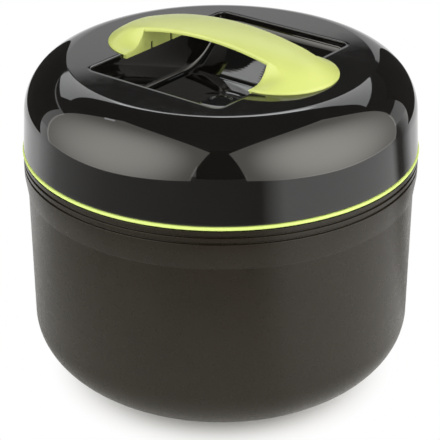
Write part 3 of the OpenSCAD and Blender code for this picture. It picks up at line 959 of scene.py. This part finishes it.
fill_lamp = bpy.data.lights.new("fill", "AREA")
fill_lamp.size = fill_size
fill_lamp.energy = fill_power
fill = bpy.data.objects.new("fill", fill_lamp)
fill.location = studio_spot(0, fill_distance, fill_height)
fill.rotation_euler = (fill_aim - fill.location).to_track_quat("-Z", "Y").to_euler()
fill.visible_glossy = False
fill.visible_camera = False
scene.collection.objects.link(fill)
print("fill at", [round(c, 2) for c in fill.location])

# %% [markdown]
# The room is white near the floor, where the sweep of the table paper rises, and dim
# above. The change is a soft step in height that leans a little to one side.

# %% Room
paper_top, dim_from = math.sin(math.radians(20.2)), math.sin(math.radians(21.0))
paper_level, dim_level = 0.72, 0.05
room_up = studio_spot(90, 0.12, 0.99)

world = bpy.data.worlds.new("room")
scene.world = world
world.use_nodes = True
sky = world.node_tree.nodes["Background"]
sky.inputs["Color"].default_value = (1, 1, 1, 1)
direction = add_node(world, "ShaderNodeTexCoord").outputs["Generated"]
height = vector_math(world, "DOT_PRODUCT", direction, room_up)
link(world, fade(world, height, paper_top, dim_from, paper_level, dim_level), sky.inputs["Strength"])
print("room lit")


# %% [markdown]
# The floor is white paper. Near the foot it takes its real light, so the shadow stays.
# Further away the paper is simply white to the camera, as an overlit sweep would be. To
# mirrors and to glass it turns white further out, which keeps the tub's corner dark, and
# to them it is painted dim in front, to the left, and in a small piece on the right: a
# painted dark reflection, as dark cloth lying there would give, though the camera sees
# white paper there. The dimming is a ramp over the angle round the box, so its ends are soft.

# %% Floor
floor_r, floor_drop = 12, 0.2 * mm
paper_colour = (0.86, 0.86, 0.86, 1)
# Painted dark reflection: how bright the paper's white is to mirrors at each turn round the box.
mirror_dark_stops = ((-116, 1), (-96, 0.45), (-60, 0.22), (0, 0.12), (20, 0.1),
               (32, 1), (103, 1), (109, 0.1), (114, 0.1), (128, 1))


def stage_piece(bm, name, material):
    """A mesh that belongs to the studio and not to the box."""
    mesh = bpy.data.meshes.new(name)
    bm.to_mesh(mesh)
    bm.free()
    piece = bpy.data.objects.new(name, mesh)
    scene.collection.objects.link(piece)
    piece.data.materials.append(material)
    piece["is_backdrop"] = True
    print(name, "on stage")
    return piece


paper = bpy.data.materials.new("white paper")
paper.use_nodes = True
nodes = paper.node_tree.nodes
nodes.remove(nodes["Principled BSDF"])
matt = add_node(paper, "ShaderNodeBsdfDiffuse", Color=paper_colour)
white = nodes.new("ShaderNodeEmission")
ray = add_node(paper, "ShaderNodeLightPath")
place = add_node(paper, "ShaderNodeTexCoord").outputs["Object"]
away = vector_math(paper, "LENGTH", place)


def white_from(near, far, least):
    """A share of white that grows between two distances from the axis."""
    return fade(paper, away, near, far, least, 1.0)


def combine(operation, first, second):
    """Join two values with a Math node."""
    node = nodes.new("ShaderNodeMath")
    node.operation = operation
    node.use_clamp = True
    link(paper, first, node.inputs[0])
    link(paper, second, node.inputs[1])
    return node.outputs["Value"]


seen = combine("MULTIPLY", ray.outputs["Is Camera Ray"], white_from(near=0.067, far=0.099, least=0.06))
mirrored = combine("ADD", ray.outputs["Is Glossy Ray"], ray.outputs["Is Transmission Ray"])
mirrored = combine("MULTIPLY", mirrored, white_from(near=0.1, far=0.42, least=0.2))
share = combine("ADD", seen, mirrored)

round_box = nodes.new("ShaderNodeTexGradient")
round_box.gradient_type = "RADIAL"
link(paper, place, round_box.inputs["Vector"])
# Painted dark reflection: the paper's white glow is dimmed to mirrors by turn round the box; the camera
# still sees full white.
mirror_dark = nodes.new("ShaderNodeValToRGB")
mirror_dark.color_ramp.elements[0].color = (1, 1, 1, 1)
for turn, level in mirror_dark_stops:
    stop = mirror_dark.color_ramp.elements.new((math.degrees(camera_turn) + turn + 90) / 360)
    stop.color = (level, level, level, 1)
link(paper, round_box.outputs["Fac"], mirror_dark.inputs["Fac"])
brightness = combine("MAXIMUM", ray.outputs["Is Camera Ray"], mirror_dark.outputs["Color"])
link(paper, brightness, white.inputs["Strength"])
mix = nodes.new("ShaderNodeMixShader")
link(paper, share, mix.inputs["Fac"])
link(paper, matt.outputs["BSDF"], mix.inputs[1])
link(paper, white.outputs["Emission"], mix.inputs[2])
link(paper, mix.outputs["Shader"], nodes["Material Output"].inputs["Surface"])

bm = bmesh.new()
bmesh.ops.create_circle(bm, cap_ends=True, segments=96, radius=floor_r)
bmesh.ops.translate(bm, verts=bm.verts, vec=(0, 0, -floor_drop))
stage_piece(bm, "floor", paper)

# %% [markdown]
# A lit sheet hangs behind the box, out of the picture. It is higher at its ends, and the
# lid shows it as a wedge on either side of the flat top.

# %% Sheet behind
sheet_distance = 1.0
sheet_corners = ((-0.42, 0.62), (0.33, 0.68), (1.4, 1.5), (0.68, 1.37), (0.27, 1.157),
                 (0, 1.07), (-0.27, 0.997), (-0.84, 1.149), (-1.05, 1.19), (-1.05, 0.97))


def glow(name, strength):
    """A lit white surface."""
    material, shader = new_finish(name)
    shader.inputs["Base Color"].default_value = (0.8, 0.8, 0.8, 1)
    shader.inputs["Emission Color"].default_value = (0.96, 0.98, 1.0, 1)
    shader.inputs["Emission Strength"].default_value = strength
    return material


def hang(bm, distance, corners):
    """Hang a flat sheet behind the box, with corners that are given across and in height."""
    bm.faces.new([bm.verts.new(studio_spot(180, distance, height) + studio_spot(90, across, 0))
                  for across, height in corners])


bm = bmesh.new()
hang(bm, sheet_distance, sheet_corners)
stage_piece(bm, "sheet behind", glow("sheet glow", strength=1.08)).visible_camera = False

# %% [markdown]
# Two brighter cards are there for one reflection each. A strip before the sheet draws the
# thin line along the crease. A small card before the upper corner of the left softbox is
# what the ramp at the back of the pocket mirrors to the camera. Both light no matt
# surface and cast no shadow.

# %% Bright cards
strip_distance = 0.98
strip_corners = ((-0.27, 0.867), (0, 1.0), (0.27, 1.0), (0.27, 1.136), (0, 1.13), (-0.27, 0.979))
card_place = Vector((-505, -167, 862)) * mm
card_size = (84 * mm, 46 * mm)


def flat_card(bm, place, turn, size):
    """Draw a rectangle of a size, at a place and with a turn."""
    bmesh.ops.create_grid(bm, x_segments=1, y_segments=1, size=0.5,
                          matrix=Matrix.LocRotScale(place, turn, (*size, 1)))


def only_mirrored(card):
    """Leave a card to reflections alone."""
    card.visible_camera = card.visible_diffuse = card.visible_shadow = False


bm = bmesh.new()
hang(bm, strip_distance, strip_corners)
only_mirrored(stage_piece(bm, "strip behind", glow("strip glow", strength=3.2)))
bm = bmesh.new()
flat_card(bm, card_place, None, card_size)
only_mirrored(stage_piece(bm, "card over the pocket", glow("card glow", strength=2.1)))

# %% [markdown]
# Dark cards finish the studio: behind the camera, and at the back on either side, where
# they keep the lid's flanks deep. Each is an edge that is spun through part of a turn.
# They only matter to reflections, so the camera doesn't see them.

# %% Dark cards
card_black, black_shader = new_finish("card black")
black_shader.inputs["Base Color"].default_value = (0.02, 0.02, 0.02, 1)
black_shader.inputs["Roughness"].default_value = 0.9
front_low, front_high = (1.9, 0.001), (1.9, 2.6)
back_low, back_high = (0.68, 0.001), (0.68, 0.47)


def dark_card(name, begin, end, low, high):
    """Spin an edge between two spots, each a distance and a height, from one turn to another."""
    bm = bmesh.new()
    tip = bm.verts.new(studio_spot(begin, *low))
    bmesh.ops.extrude_vert_indiv(bm, verts=[tip])["verts"][0].co = studio_spot(begin, *high)
    bmesh.ops.spin(bm, geom=bm.verts[:] + bm.edges[:], cent=(0, 0, 0), axis=(0, 0, 1),
                   angle=math.radians(end - begin), steps=max(4, round((end - begin) / 3)))
    stage_piece(bm, name, card_black).visible_camera = False


dark_card("card behind the camera", -13, 13, front_low, front_high)
dark_card("card back left", -161, -114, back_low, back_high)
dark_card("card back right", 124, 158, back_low, back_high)

# %% [markdown]
# A softbox has an opaque back. A lamp alone lets the room show through it in a mirror,
# so each lamp gets a black sheet of its own size just behind it.

# %% Backs of the softboxes
back_gap = Vector((0, 0, 0.02))
for box in (left_box, right_box):
    bm = bmesh.new()
    behind = box.location + box.rotation_euler.to_matrix() @ back_gap
    flat_card(bm, behind, box.rotation_euler, (box.data.size, box.data.size_y))
    stage_piece(bm, box.name + " back", card_black).visible_camera = False

# %% [markdown]
# ## Last steps
#
# The view is set to Standard, so that a colour shows as it was written. The bounds of the
# dressed lunch box are worked out.

# %% Sizes
scene.view_settings.view_transform = "Standard"
low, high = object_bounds()
